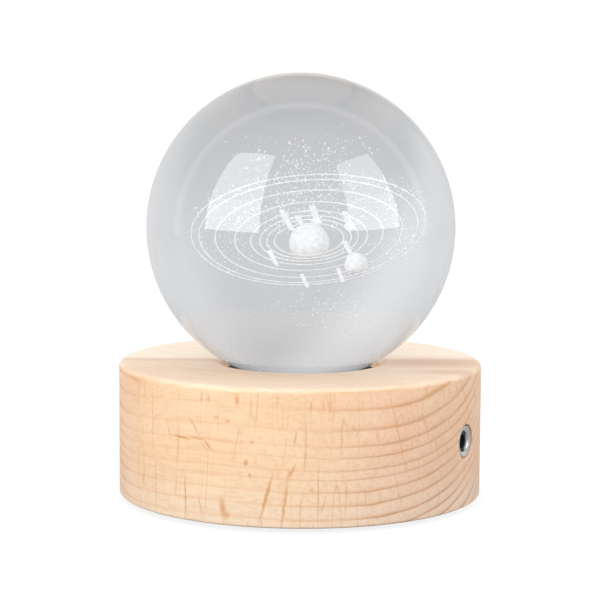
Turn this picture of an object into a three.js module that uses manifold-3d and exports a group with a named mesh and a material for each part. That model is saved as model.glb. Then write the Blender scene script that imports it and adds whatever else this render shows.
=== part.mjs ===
// Crystal ball lamp: a solid glass ball lies loose in a turned wooden base, which holds an LED board
// under a frosted window and a small DC power jack in its side.
// Millimetres, +Z up. The origin is on the table under the middle of the base, and the power jack
// looks out along +X.

import Module from 'manifold-3d';
import * as THREE from 'three';
import { mergeVertices } from 'three/addons/utils/BufferGeometryUtils.js';

const wasm = await Module();
wasm.setup();

// Ball and wooden base
const ballDiameter = 80;
const ballSink = 5.35; // from the top of the wood down to the lowest point of the ball
const baseDiameter = 94.3;
const baseHeight = 34.2;
const topRound = 1.4; // rounding of the wood's upper edge
const edgeBreak = 0.6; // of its lower edge

// Clearances
const fitGap = 0.3; // round pieces that sit in or on one another
const filmGap = 0.1; // glue, solder or varnish between flat faces
const jackGap = 0.15; // nested pieces of the power jack
const markGap = 0.1; // between a laser mark and the glass round it
const cutOver = 1; // a cutter runs on past the face that it opens

// Seat of the ball, and the light well under it
const rimGap = 0.8; // between the ball and the wall of the seat, taken at the top of the wood
const rimRoundWidth = 2.3; // rounding of the seat's upper edge, across
const rimRoundDrop = 1.2; // the same rounding, down
const seatDepth = 3;
const ringDrop = 1.5; // from the top of the wood down to the top of the rubber ring
const ringLip = 0.6; // height of the ring's inner edge
const wellGap = 0.5; // between the ball and the edge of the well, at the floor of the seat
const ballAir = 4.65; // between the ball and the window
const windowThickness = 1.6;
const ledgeWidth = 2; // of the step that the window lies on
const ledgeThickness = 2.2;

// Laser marks inside the ball: eight orbits round a sun in one tilted plane, and a planet in that plane
const marksTurn = 27; // degrees from +X round to the line across the plane
const marksTilt = 23.46;
const marksRoll = -3.45;
const marksMiddle = [1.36, 4.04, -2.41]; // from the middle of the ball, across, back and up
const orbitRadii = [19.01, 17.78, 15.22, 12.08, 9.51, 8.03, 6.9, 5.67];
const orbitHalf = 0.14; // half the width and height of an orbit's line
const sunRadius = 3.3;
const planetRadius = 2.03;
const planetPlace = [8.5, -10.7]; // in the plane, from the sun
const slitHalf = 0.1; // of the slit that links the hollows of the marks
const ventRadius = 0.2; // of the bore from the hollows down to the underside of the ball

// Underside: cover, screws and feet
const footDrop = 1.2; // how far the feet stand out below the wood
const footRadius = 5;
const footPocketDepth = 1;
const footEdge = 0.5;
const footInset = 10; // from the edge of the cover to the middle of a foot
const coverInset = 6.7; // wood left outside the recess of the cover
const coverLedge = 7.3; // width of the step that the cover lies on
const coverThickness = 2.4;
const coverHeadRadius = 2.5;
const coverHeadRim = 0.3;
const coverHeadHeight = 1.6;
const coverShankRadius = 1.2;
const coverScrewLength = 9;
const screwPoint = 1.2;
const recessWidth = 0.8;
const recessReach = 2.6;
const recessDepth = 0.8;

// LED board
const boardThickness = 1.6;
const boardHeadRadius = 2.5;
const boardHeadHeight = 1.6;
const boardHeadRound = 0.5;
const boardShankRadius = 1.1;
const boardScrewGrip = 5.5; // board screw's length under its head
const boardScrewWall = 1; // wood between the well and a screw hole
const boardMargin = 0.1; // between a screw's head and the edge of the board
const ledSize = 5;
const ledHeight = 1.6;
const ledDishRadius = 2;
const ledDishDepth = 0.5;
const ledMargin = 0.9; // between a corner of an LED and the wall of the well
const resistorLength = 3.2;
const resistorWidth = 1.6;
const resistorHeight = 0.6;

// Power jack, with depths measured inwards from its face
const jackHeight = 16.8; // above the underside of the wood
const jackInset = 0.35; // of the face from the widest point of the wood
const jackWall = 9.5; // wood left between the pocket and the outside
const barrelRadius = 3.5;
const barrelWall = 0.9;
const flangeLip = 0.55;
const flangeThickness = 1.5;
const flangeRound = 0.25;
const dishDepth = 0.4;
const threadSpare = 1; // barrel left behind the nut
const washerRadius = 6;
const washerThickness = 0.5;
const nutAcross = 10;
const nutThickness = 2;
const insulatorSetback = 0.85;
const insulatorWall = 0.65;
const insulatorBoreDepth = 10;
const insulatorFlangeRadius = 3.4;
const insulatorFlangeThickness = 1.85;
const pinRadius = 0.65;
const pinSetback = 2.8;
const pinTail = 0.6; // pin left behind its solder lug
const contactStart = 4;
const contactWidth = 1.6;
const contactThickness = 0.3;
const contactKink = 0.45;
const contactKinkLength = 2;
const lugRadius = 1.65;
const tabLength = 6;
const pocketSide = 2; // room beside the washer
const pocketTop = 0.8; // room above the washer
const pocketMargin = 0.6; // from the edge of the board out to the pocket

// Wires and their sleeves
const wireRadius = 0.7;
const sleeveWall = 0.3;
const sleeveOnTab = 3;
const sleeveOnWire = 2;
const wireSag = 2.4; // lowest point of a wire, below its tab and its pad

// Facets and repeats
const ballSides = 48;
const ballRings = 24;
const turnedSides = 64;
const orbitSides = 48;
const sphereSides = 20;
const sphereRings = 10;
const jackSides = 32;
const screwSides = 16;
const wireSides = 8;
const hexSides = 6;
const wireSteps = 22;
const bandSteps = 4;
const edgeSteps = 5;
const ledCount = 6;
const ringLedCount = ledCount - 1;
const resistorCount = 2;
const boardScrewCount = 3;
const coverScrewCount = 4;
const footCount = 4;
const boardScrewTurn = 60; // degrees round from the jack
const coverScrewTurn = 45;

// Shares of a length, chosen by eye
const resistorPlaceShares = [-0.32, 0.21]; // of the board's radius, along X and Y
const padPlaceShares = [0.5, 0.13]; // of the board's radius, along X and Y
const wireSagShare = 0.55; // of the way from the edge of the board to the pad

// Radii that follow from the sizes above
const ballRadius = ballDiameter / 2;
const baseRadius = baseDiameter / 2;
const sectionRadius = (height) => Math.sqrt(ballRadius ** 2 - (ballRadius - height) ** 2);
const seatRadius = sectionRadius(ballSink) + rimGap;
const wellRadius = sectionRadius(ballSink - seatDepth) + wellGap;
const throatRadius = wellRadius - ledgeWidth;
const coverRecessRadius = baseRadius - coverInset;
const cavityRadius = coverRecessRadius - coverLedge;
const coverRadius = coverRecessRadius - fitGap;
const coverScrewCircle = cavityRadius + coverLedge / 2;
const footCircle = coverRadius - footInset;
const boardPilotRadius = boardShankRadius + fitGap;
const boardScrewCircle = wellRadius + boardScrewWall + boardPilotRadius;
const boardRadius = boardScrewCircle + boardHeadRadius + boardMargin;
const ledCircle = throatRadius - ledMargin - ledSize * Math.SQRT1_2;

// Levels above the table
const woodBottom = footDrop;
const woodTop = woodBottom + baseHeight;
const seatFloor = woodTop - seatDepth;
const ballBottom = woodTop - ballSink;
const ballCentre = ballBottom + ballRadius;
const windowTop = ballBottom - ballAir;
const windowBottom = windowTop - windowThickness;
const ledgeTop = windowBottom - filmGap;
const cavityCeiling = ledgeTop - ledgeThickness;
const boardTop = cavityCeiling - filmGap;
const boardBottom = boardTop - boardThickness;
const coverTop = woodBottom + coverThickness;
const coverLedgeLevel = coverTop + filmGap;
const jackLevel = woodBottom + jackHeight;

// Depths behind the face of the jack
const washerFront = jackWall - jackInset + jackGap;
const nutFront = washerFront + washerThickness + jackGap;
const bushingLength = nutFront + nutThickness + threadSpare;
const insulatorFlangeFront = bushingLength + jackGap;
const insulatorBack = insulatorFlangeFront + insulatorFlangeThickness;
const lugFront = insulatorBack + jackGap;
const lugBack = lugFront + contactThickness;
const pinBack = lugBack + pinTail;
const tabEnd = insulatorBack + tabLength;

// Radii and places in the jack
const bushingBore = barrelRadius - barrelWall;
const flangeRadius = barrelRadius + flangeLip;
const insulatorRadius = bushingBore - jackGap;
const insulatorBore = insulatorRadius - insulatorWall;
const contactOffset = (insulatorRadius + insulatorBore) / 2;
const pinHoleRadius = pinRadius + jackGap;
const clampHoleRadius = barrelRadius + jackGap;
const sleeveBore = contactWidth / 2 + fitGap;
const jackFaceX = baseRadius - jackInset;
const tabEndX = jackFaceX - tabEnd;
const pocketInnerX = boardRadius + pocketMargin;
const pocketOuterX = baseRadius - jackWall;
const pocketHalfWidth = washerRadius + pocketSide;
const pocketCeiling = jackLevel + washerRadius + pocketTop;

const finishes = {
  glass: { color: 0xdfe3e8, roughness: 0.02, metalness: 0, transparent: true, opacity: 0.45 },
  laserMark: { color: 0xf2f5f7, roughness: 0.9, metalness: 0 },
  beech: { color: 0xf0cfa6, roughness: 0.6, metalness: 0 },
  blackRubber: { color: 0x1b1b1c, roughness: 0.85, metalness: 0 },
  frostedAcrylic: { color: 0xf1f3f4, roughness: 0.5, metalness: 0, transparent: true, opacity: 0.8 },
  whiteBoard: { color: 0xeef0ee, roughness: 0.4, metalness: 0 },
  ledBody: { color: 0xf4efd8, roughness: 0.4, metalness: 0 },
  blackCeramic: { color: 0x232427, roughness: 0.5, metalness: 0 },
  zincSteel: { color: 0xbfc3c6, roughness: 0.35, metalness: 1 },
  nickel: { color: 0xc9c6c2, roughness: 0.18, metalness: 1 },
  tinnedBrass: { color: 0xc8c2ae, roughness: 0.35, metalness: 1 },
  blackPlastic: { color: 0x18191b, roughness: 0.55, metalness: 0 },
  redPlastic: { color: 0xb3261e, roughness: 0.5, metalness: 0 },
};

const lamp = new THREE.Group();

// The tilted plane of the orbits, with the sun at its origin
const engraving = new THREE.Group();
engraving.position.z = ballCentre;
engraving.rotation.z = THREE.MathUtils.degToRad(marksTurn);
const marks = new THREE.Group();
const [marksTiltAngle, marksRollAngle] = [marksTilt, marksRoll].map(THREE.MathUtils.degToRad);
marks.position.set(...marksMiddle);
marks.rotation.set(marksTiltAngle, marksRollAngle, 0, 'YXZ');
engraving.add(marks);
lamp.add(engraving);
engraving.updateMatrixWorld(true);

function addPart(name, geometry, finish, parent = lamp) {
  const mesh = new THREE.Mesh(geometry, new THREE.MeshStandardMaterial(finish));
  mesh.name = name;
  parent.add(mesh);
  return mesh;
}

// A body of revolution about Z. Its outline of [radius, height] points goes up the outside and
// comes back down the inside or the axis.
function turned(outline, sides) {
  const points = outline.map(([radius, height]) => new THREE.Vector2(radius, height));
  return new THREE.LatheGeometry(points, sides).rotateX(Math.PI / 2);
}

function closed(outline) {
  return [...outline, outline[0]];
}

function block(xs, ys, zs) {
  const sizes = [xs, ys, zs].map(([low, high]) => high - low);
  const middles = [xs, ys, zs].map(([low, high]) => (low + high) / 2);
  return new THREE.BoxGeometry(...sizes).translate(...middles);
}

function solidOf(geometry) {
  const bare = geometry.clone().deleteAttribute('normal').deleteAttribute('uv');
  const merged = mergeVertices(bare);
  const corners = merged.index.array;
  const kept = [];
  for (let i = 0; i < corners.length; i += 3) {
    const [a, b, c] = corners.subarray(i, i + 3);
    if (a !== b && b !== c && c !== a) kept.push(a, b, c);
  }
  return new wasm.Manifold(
    new wasm.Mesh({
      numProp: 3,
      vertProperties: merged.getAttribute('position').array,
      triVerts: new Uint32Array(kept),
    }),
  );
}

function geometryOf(solid) {
  const mesh = solid.getMesh();
  const geometry = new THREE.BufferGeometry();
  geometry.setAttribute('position', new THREE.BufferAttribute(mesh.vertProperties, 3));
  geometry.setIndex(new THREE.BufferAttribute(mesh.triVerts, 1));
  geometry.computeVertexNormals();
  return geometry;
}

function cut(geometry, cutters) {
  const body = cutters.reduce((solid, cutter) => solid.subtract(solidOf(cutter)), solidOf(geometry));
  return geometryOf(body);
}

function join(geometries) {
  return geometryOf(geometries.map(solidOf).reduce((solid, next) => solid.add(next)));
}

function rod(radius, low, high, sides) {
  return turned([[0, low], [radius, low], [radius, high], [0, high]], sides);
}

// The places of a ring of equal pieces, the first one at the turn from +X that is given in degrees
function ringOf(count, circle, firstTurn) {
  return Array.from({ length: count }, (_, i) => {
    const angle = THREE.MathUtils.degToRad(firstTurn) + (i * 2 * Math.PI) / count;
    return { x: circle * Math.cos(angle), y: circle * Math.sin(angle), angle };
  });
}

const coverScrewPlaces = ringOf(coverScrewCount, coverScrewCircle, coverScrewTurn);
const footPlaces = ringOf(footCount, footCircle, 0);
const boardScrewPlaces = ringOf(boardScrewCount, boardScrewCircle, boardScrewTurn);
const ledPlaces = [{ x: 0, y: 0, angle: 0 }, ...ringOf(ringLedCount, ledCircle, 0)];

// A sphere in the plane of the orbits, grown by the gap
function planetMark(radius, place, gap) {
  const sphere = new THREE.SphereGeometry(radius + gap, sphereSides, sphereRings).rotateX(Math.PI / 2);
  return sphere.translate(...place, 0);
}

function sunMark(gap) {
  return planetMark(sunRadius, [0, 0], gap);
}

function outerPlanetMark(gap) {
  return planetMark(planetRadius, planetPlace, gap);
}

function orbitBand(radius, gap) {
  const half = orbitHalf + gap;
  const outline = closed([
    [radius + half, -half],
    [radius + half, half],
    [radius - half, half],
    [radius - half, -half],
  ]);
  return turned(outline, orbitSides);
}

// An orbit's line, open where it meets the planet
function orbitMark(radius) {
  return cut(orbitBand(radius, 0), [outerPlanetMark(markGap)]);
}

// Glass ball, loose in its seat, with a close hollow round each mark. A slit links the hollows, and a
// fine bore opens them at the underside.
function crystalBall() {
  const ball = new THREE.SphereGeometry(ballRadius, ballSides, ballRings).rotateX(Math.PI / 2);
  const slit = block([0, orbitRadii[0]], [-slitHalf, slitHalf], [-slitHalf, slitHalf]);
  const hollows = [
    ...orbitRadii.map((radius) => orbitBand(radius, markGap)),
    sunMark(markGap),
    outerPlanetMark(markGap),
    slit,
  ];
  hollows.forEach((hollow) => hollow.applyMatrix4(marks.matrixWorld));
  const middle = new THREE.Vector3().setFromMatrixPosition(marks.matrixWorld);
  const vent = rod(ventRadius, ballBottom - cutOver, middle.z, wireSides);
  return cut(ball.translate(0, 0, ballCentre), [...hollows, vent.translate(middle.x, middle.y, 0)]);
}

// Outline points of a rounding that starts on an upright wall and ends on a flat top
function roundedEdge(wallRadius, across, level, down) {
  return Array.from({ length: edgeSteps + 1 }, (_, i) => {
    const angle = (i * Math.PI) / (2 * edgeSteps);
    return [wallRadius + across * (1 - Math.cos(angle)), level - down * (1 - Math.sin(angle))];
  });
}

// Outline of the wood, from the outer edge of the cover's recess up round the outside, down through
// the seat and the well, and out again under the ceiling of the cavity
function woodOutline() {
  return closed([
    [coverRecessRadius, woodBottom],
    [baseRadius - edgeBreak, woodBottom],
    [baseRadius, woodBottom + edgeBreak],
    ...roundedEdge(baseRadius, -topRound, woodTop, topRound),
    ...roundedEdge(seatRadius, rimRoundWidth, woodTop, rimRoundDrop).reverse(),
    [seatRadius, seatFloor],
    [wellRadius, seatFloor],
    [wellRadius, ledgeTop],
    [throatRadius, ledgeTop],
    [throatRadius, cavityCeiling],
    [cavityRadius, cavityCeiling],
    [cavityRadius, coverLedgeLevel],
    [coverRecessRadius, coverLedgeLevel],
  ]);
}

function pilotHole(place, radius, low, high) {
  return rod(radius, low - cutOver, high + fitGap, screwSides).translate(place.x, place.y, 0);
}

function woodBase() {
  const boreRadius = barrelRadius + fitGap;
  const mouthRadius = flangeRadius + fitGap;
  const mouthFloor = jackFaceX - flangeThickness - fitGap;
  const boreLength = baseRadius + cutOver - pocketOuterX;
  const bore = rod(boreRadius, -cutOver, boreLength, jackSides).rotateY(Math.PI / 2);
  const mouth = rod(mouthRadius, 0, baseRadius + cutOver - mouthFloor, jackSides).rotateY(Math.PI / 2);
  const pocket = block(
    [pocketInnerX, pocketOuterX],
    [-pocketHalfWidth, pocketHalfWidth],
    [woodBottom - cutOver, pocketCeiling],
  );
  const coverPilotTop = woodBottom + coverScrewLength;
  const boardPilotTop = boardBottom - filmGap + boardScrewGrip;
  return cut(turned(woodOutline(), turnedSides), [
    bore.translate(pocketOuterX, 0, jackLevel),
    mouth.translate(mouthFloor, 0, jackLevel),
    pocket,
    ...coverScrewPlaces.map((place) =>
      pilotHole(place, coverShankRadius + fitGap, coverLedgeLevel, coverPilotTop)),
    ...boardScrewPlaces.map((place) =>
      pilotHole(place, boardPilotRadius, cavityCeiling, boardPilotTop)),
  ]);
}

// Soft black ring under the ball, with a hollow band that follows the ball
function seatRing() {
  const bandRadius = ballRadius + fitGap;
  const ringTop = woodTop - ringDrop;
  const bandBottom = seatFloor + ringLip;
  const band = Array.from({ length: bandSteps + 1 }, (_, i) => {
    const height = ringTop + ((bandBottom - ringTop) * i) / bandSteps;
    return [Math.sqrt(bandRadius ** 2 - (ballCentre - height) ** 2), height];
  });
  const innerRadius = band[bandSteps][0];
  const outerRadius = seatRadius - fitGap;
  const outline = [[innerRadius, seatFloor], [outerRadius, seatFloor], [outerRadius, ringTop], ...band];
  return turned(closed(outline), turnedSides);
}

// Frosted acrylic disc that spreads the light
function lightWindow() {
  return rod(wellRadius - fitGap, windowBottom, windowTop, turnedSides);
}

function ledBoard() {
  const holes = boardScrewPlaces.map((place) =>
    rod(boardPilotRadius, boardBottom - cutOver, boardTop + cutOver, screwSides)
      .translate(place.x, place.y, 0));
  return cut(rod(boardRadius, boardBottom, boardTop, turnedSides), holes);
}

// Square LED with the round dish that holds its phosphor
function led() {
  const half = ledSize / 2;
  const dish = rod(ledDishRadius, ledHeight - ledDishDepth, ledHeight + cutOver, screwSides);
  return cut(block([-half, half], [-half, half], [0, ledHeight]), [dish]);
}

function resistor() {
  const halfLength = resistorLength / 2;
  const halfWidth = resistorWidth / 2;
  return block([-halfLength, halfLength], [-halfWidth, halfWidth], [0, resistorHeight]);
}

// Cross recess in the face of a screw's head, which lies at z = 0 with the point upwards
function crossRecess() {
  const halfReach = recessReach / 2;
  const halfWidth = recessWidth / 2;
  const depth = [-cutOver, recessDepth];
  return [
    block([-halfReach, halfReach], [-halfWidth, halfWidth], depth),
    block([-halfWidth, halfWidth], [-halfReach, halfReach], depth),
  ];
}

function countersunkScrew() {
  const outline = [
    [0, 0],
    [coverHeadRadius, 0],
    [coverHeadRadius, coverHeadRim],
    [coverShankRadius, coverHeadHeight],
    [coverShankRadius, coverScrewLength - screwPoint],
    [0, coverScrewLength],
  ];
  return cut(turned(outline, screwSides), crossRecess());
}

function panScrew() {
  const length = boardHeadHeight + boardScrewGrip;
  const outline = [
    [0, 0],
    [boardHeadRadius - boardHeadRound, 0],
    [boardHeadRadius, boardHeadRound],
    [boardHeadRadius, boardHeadHeight],
    [boardShankRadius, boardHeadHeight],
    [boardShankRadius, length - screwPoint],
    [0, length],
  ];
  return cut(turned(outline, screwSides), crossRecess());
}

// The countersunk hole that a cover screw passes, with room all round
function countersunkHole(place) {
  const headRadius = coverHeadRadius + fitGap;
  const holeRadius = coverShankRadius + fitGap;
  const outline = [
    [0, -cutOver],
    [headRadius, -cutOver],
    [headRadius, coverHeadRim],
    [holeRadius, coverHeadHeight],
    [holeRadius, coverThickness + cutOver],
    [0, coverThickness + cutOver],
  ];
  return turned(outline, screwSides).translate(place.x, place.y, woodBottom);
}

function bottomCover() {
  const footPocket = (place) =>
    rod(footRadius + fitGap, woodBottom - cutOver, woodBottom + footPocketDepth, jackSides)
      .translate(place.x, place.y, 0);
  return cut(rod(coverRadius, woodBottom, coverTop, turnedSides), [
    ...coverScrewPlaces.map(countersunkHole),
    ...footPlaces.map(footPocket),
  ]);
}

function rubberFoot() {
  const height = woodBottom + footPocketDepth - filmGap;
  const outline = [
    [0, 0],
    [footRadius - footEdge, 0],
    [footRadius, footEdge],
    [footRadius, height],
    [0, height],
  ];
  return turned(outline, jackSides);
}

// The jack's pieces lie along their own Z, with the face at z = 0 and the depths below it

function jackBushing() {
  const outline = closed([
    [barrelRadius, -bushingLength],
    [barrelRadius, -flangeThickness],
    [flangeRadius, -flangeThickness],
    [flangeRadius, -flangeRound],
    [flangeRadius - flangeRound, 0],
    [barrelRadius, 0],
    [bushingBore, -dishDepth],
    [bushingBore, -bushingLength],
  ]);
  return turned(outline, jackSides);
}

function jackInsulator() {
  const outline = closed([
    [pinHoleRadius, -insulatorBack],
    [insulatorFlangeRadius, -insulatorBack],
    [insulatorFlangeRadius, -insulatorFlangeFront],
    [insulatorRadius, -insulatorFlangeFront],
    [insulatorRadius, -insulatorSetback],
    [insulatorBore, -insulatorSetback],
    [insulatorBore, -insulatorBoreDepth],
    [pinHoleRadius, -insulatorBoreDepth],
  ]);
  const halfWidth = contactWidth / 2 + jackGap;
  const outside = contactOffset + contactThickness / 2 + jackGap;
  const inside = contactOffset - contactThickness / 2 - contactKink - jackGap;
  const slot = block(
    [-halfWidth, halfWidth],
    [-outside, -inside],
    [-insulatorBack - cutOver, -contactStart + jackGap],
  );
  return cut(turned(outline, jackSides), [slot]);
}

function jackCenterPin() {
  const outline = [
    [0, -pinBack],
    [pinRadius, -pinBack],
    [pinRadius, -pinSetback - pinRadius],
    [pinRadius * Math.SQRT1_2, -pinSetback - pinRadius * (1 - Math.SQRT1_2)],
    [0, -pinSetback],
  ];
  return turned(outline, screwSides);
}

// A band of sheet metal that follows a line of [y, z] points, as wide as the contacts
function metalStrip(line) {
  const half = contactThickness / 2;
  const near = line.map(([y, z]) => new THREE.Vector2(y - half, z));
  const far = line.map(([y, z]) => new THREE.Vector2(y + half, z)).reverse();
  const strip = new THREE.ExtrudeGeometry(new THREE.Shape([...near, ...far]), {
    depth: contactWidth,
    bevelEnabled: false,
  });
  strip.translate(0, 0, -contactWidth / 2);
  // the drawing's x, y and depth become y, z and x
  return strip.rotateX(Math.PI / 2).rotateZ(Math.PI / 2);
}

// Spring that presses on the plug's sleeve, in one piece with its solder tab
function jackSleeveContact() {
  const kinkStart = contactStart + contactKinkLength / 2;
  return metalStrip([
    [-contactOffset, -tabEnd],
    [-contactOffset, -kinkStart - contactKinkLength],
    [-contactOffset + contactKink, -kinkStart - contactKinkLength / 2],
    [-contactOffset, -kinkStart],
    [-contactOffset, -contactStart],
  ]);
}

// Eyelet round the tail of the pin, with an arm out to its own solder tab
function jackPinLug() {
  const half = contactWidth / 2;
  const outside = contactOffset + contactThickness / 2;
  const inside = contactOffset - contactThickness / 2;
  const eyelet = rod(lugRadius, -lugBack, -lugFront, screwSides);
  const arm = block([-half, half], [0, outside], [-lugBack, -lugFront]);
  const tab = block([-half, half], [inside, outside], [-tabEnd, -lugFront]);
  const hole = rod(pinHoleRadius, -lugBack - cutOver, -lugFront + cutOver, screwSides);
  return cut(join([eyelet, arm, tab]), [hole]);
}

function jackWasher() {
  const outline = closed([
    [clampHoleRadius, -washerFront - washerThickness],
    [washerRadius, -washerFront - washerThickness],
    [washerRadius, -washerFront],
    [clampHoleRadius, -washerFront],
  ]);
  return turned(outline, jackSides);
}

function jackNut() {
  const corner = nutAcross / Math.sqrt(3);
  const nutBack = nutFront + nutThickness;
  const hole = rod(clampHoleRadius, -nutBack - cutOver, -nutFront + cutOver, jackSides);
  return cut(rod(corner, -nutBack, -nutFront, hexSides), [hole]);
}

function heatShrink() {
  const back = tabEnd + sleeveOnWire;
  const front = tabEnd - sleeveOnTab;
  const outline = closed([
    [sleeveBore, -back],
    [sleeveBore + sleeveWall, -back],
    [sleeveBore + sleeveWall, -front],
    [sleeveBore, -front],
  ]);
  return turned(outline, screwSides);
}

// Wire from a solder tab, in under the board and up to its pad. Side is +1 or -1.
function jackWire(side) {
  const tabY = side * contactOffset;
  const padX = boardRadius * padPlaceShares[0];
  const padY = side * boardRadius * padPlaceShares[1];
  const sleeveX = tabEndX - sleeveOnWire;
  const edgeX = Math.min(sleeveX - wireRadius, boardRadius + 2 * wireRadius);
  const edgeLevel = Math.min(jackLevel, boardBottom - 2 * wireRadius);
  const sagX = edgeX + (padX - edgeX) * wireSagShare;
  const route = [
    [tabEndX - fitGap, tabY, jackLevel],
    [sleeveX, tabY, jackLevel],
    [edgeX, tabY, edgeLevel],
    [sagX, padY, edgeLevel - wireSag],
    [padX, padY, boardBottom - 2 * wireRadius],
    [padX, padY, boardBottom - filmGap],
  ];
  const path = new THREE.CatmullRomCurve3(
    route.map((point) => new THREE.Vector3(...point)), false, 'centripetal');
  const section = Array.from({ length: wireSides }, (_, i) => {
    const angle = (i * 2 * Math.PI) / wireSides;
    return new THREE.Vector2(wireRadius * Math.cos(angle), wireRadius * Math.sin(angle));
  });
  return new THREE.ExtrudeGeometry(new THREE.Shape(section), { steps: wireSteps, extrudePath: path });
}

// Ball with its laser marks, wood, seat and window
addPart('crystal_ball', crystalBall(), finishes.glass);
addPart('sun_mark', sunMark(0), finishes.laserMark, marks);
addPart('planet_mark', outerPlanetMark(0), finishes.laserMark, marks);
orbitRadii.forEach((radius, i) => {
  addPart(`orbit_mark_${i + 1}`, orbitMark(radius), finishes.laserMark, marks);
});
addPart('wood_base', woodBase(), finishes.beech);
addPart('seat_ring', seatRing(), finishes.blackRubber);
addPart('light_window', lightWindow(), finishes.frostedAcrylic);

// Board and what it carries
addPart('led_board', ledBoard(), finishes.whiteBoard);
ledPlaces.forEach((place, i) => {
  const mesh = addPart(`led_${i + 1}`, led(), finishes.ledBody);
  mesh.position.set(place.x, place.y, boardTop + filmGap);
  mesh.rotation.z = place.angle;
});
for (let i = 0; i < resistorCount; i += 1) {
  const [xShare, yShare] = resistorPlaceShares;
  const side = 1 - 2 * i;
  const mesh = addPart(`resistor_${i + 1}`, resistor(), finishes.blackCeramic);
  mesh.position.x = boardRadius * xShare;
  mesh.position.y = boardRadius * yShare * side;
  mesh.position.z = boardBottom - filmGap - resistorHeight;
}
boardScrewPlaces.forEach((place, i) => {
  const mesh = addPart(`board_screw_${i + 1}`, panScrew(), finishes.zincSteel);
  mesh.position.set(place.x, place.y, boardBottom - filmGap - boardHeadHeight);
});

// Power jack, clamped in the wall of the base
const jack = new THREE.Group();
jack.position.set(jackFaceX, 0, jackLevel);
jack.rotation.y = Math.PI / 2;
lamp.add(jack);
addPart('jack_bushing', jackBushing(), finishes.nickel, jack);
addPart('jack_insulator', jackInsulator(), finishes.blackPlastic, jack);
addPart('jack_center_pin', jackCenterPin(), finishes.nickel, jack);
addPart('jack_sleeve_contact', jackSleeveContact(), finishes.tinnedBrass, jack);
addPart('jack_pin_lug', jackPinLug(), finishes.tinnedBrass, jack);
addPart('jack_washer', jackWasher(), finishes.nickel, jack);
addPart('jack_nut', jackNut(), finishes.nickel, jack);
addPart('heat_shrink_red', heatShrink(), finishes.redPlastic, jack).position.y = contactOffset;
addPart('heat_shrink_black', heatShrink(), finishes.blackPlastic, jack).position.y = -contactOffset;
addPart('wire_red', jackWire(1), finishes.redPlastic);
addPart('wire_black', jackWire(-1), finishes.blackPlastic);

// Underside
addPart('bottom_cover', bottomCover(), finishes.blackPlastic);
coverScrewPlaces.forEach((place, i) => {
  const mesh = addPart(`cover_screw_${i + 1}`, countersunkScrew(), finishes.zincSteel);
  mesh.position.set(place.x, place.y, woodBottom);
});
footPlaces.forEach((place, i) => {
  const mesh = addPart(`rubber_foot_${i + 1}`, rubberFoot(), finishes.blackRubber);
  mesh.position.set(place.x, place.y, 0);
});

export default lamp;
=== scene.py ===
import math
import random

import bpy
from mathutils import Euler, Matrix, Vector


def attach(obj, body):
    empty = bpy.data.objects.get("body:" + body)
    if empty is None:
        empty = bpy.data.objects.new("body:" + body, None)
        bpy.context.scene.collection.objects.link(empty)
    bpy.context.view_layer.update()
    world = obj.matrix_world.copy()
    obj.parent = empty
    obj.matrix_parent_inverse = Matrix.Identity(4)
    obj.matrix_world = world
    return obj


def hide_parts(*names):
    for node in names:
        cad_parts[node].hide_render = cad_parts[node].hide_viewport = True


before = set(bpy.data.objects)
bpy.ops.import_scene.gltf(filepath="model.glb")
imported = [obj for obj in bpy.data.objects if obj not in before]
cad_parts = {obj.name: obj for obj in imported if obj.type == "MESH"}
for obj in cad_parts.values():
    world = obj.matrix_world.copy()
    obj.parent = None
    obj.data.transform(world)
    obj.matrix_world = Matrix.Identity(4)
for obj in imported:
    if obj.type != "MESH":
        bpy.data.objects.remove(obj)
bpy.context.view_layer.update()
mm = 0.001
bpy.context.scene.view_settings.view_transform = "Standard"

# Sizes of the part that several pieces share, in millimetres
lamp = {
    "ballRadius": 40.0,
    "ballCentre": 70.05,
    "baseRadius": 47.15,
    "woodBottom": 1.2,
    "woodTop": 35.4,
    "seatFloor": 32.4,
    "seatRadius": 20.78,
    "wellRadius": 14.01,
    "jackFace": 46.8,
    "jackLevel": 18.0,
    "cameraTurn": 27.0,  # degrees from the front of the part round to the camera
}


# Ways of making and shaping a mesh

def added(name):
    # the object that the last operator made
    piece = bpy.context.active_object
    piece.name = piece.data.name = name
    return piece


def selectOnly(piece):
    bpy.ops.object.select_all(action="DESELECT")
    piece.select_set(True)
    bpy.context.view_layer.objects.active = piece


def place(point):
    return tuple(value * mm for value in point)


def settle(piece):
    # the object goes to the origin, and its place into the mesh
    selectOnly(piece)
    bpy.ops.object.transform_apply(location=True, rotation=True, scale=True)


def turned(name, outline, steps, axis="Z", centre=(0, 0, 0)):
    # the outline's [radius, height] points are drawn edge by edge, and the line is spun round the axis
    def spot(radius, height):
        if axis == "Z":
            return Vector(place((centre[0] + radius, centre[1], centre[2] + height)))
        return Vector(place((centre[0] + height, centre[1], centre[2] + radius)))

    spots = [spot(*point) for point in outline]
    bpy.ops.mesh.primitive_plane_add(size=mm, location=spots[0])
    piece = added(name)
    bpy.ops.object.mode_set(mode="EDIT")
    bpy.ops.mesh.merge(type="CENTER")
    for last, following in zip(spots, spots[1:]):
        bpy.ops.mesh.extrude_region_move(TRANSFORM_OT_translate={"value": following - last})
    bpy.ops.mesh.select_all(action="SELECT")
    line = (0, 0, 1) if axis == "Z" else (1, 0, 0)
    bpy.ops.mesh.spin(steps=steps, angle=2 * math.pi, center=place(centre), axis=line,
                      use_auto_merge=True)
    bpy.ops.mesh.select_all(action="SELECT")
    bpy.ops.mesh.remove_doubles(threshold=0.002 * mm)
    bpy.ops.mesh.normals_make_consistent(inside=False)
    bpy.ops.object.mode_set(mode="OBJECT")
    settle(piece)
    return piece


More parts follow.
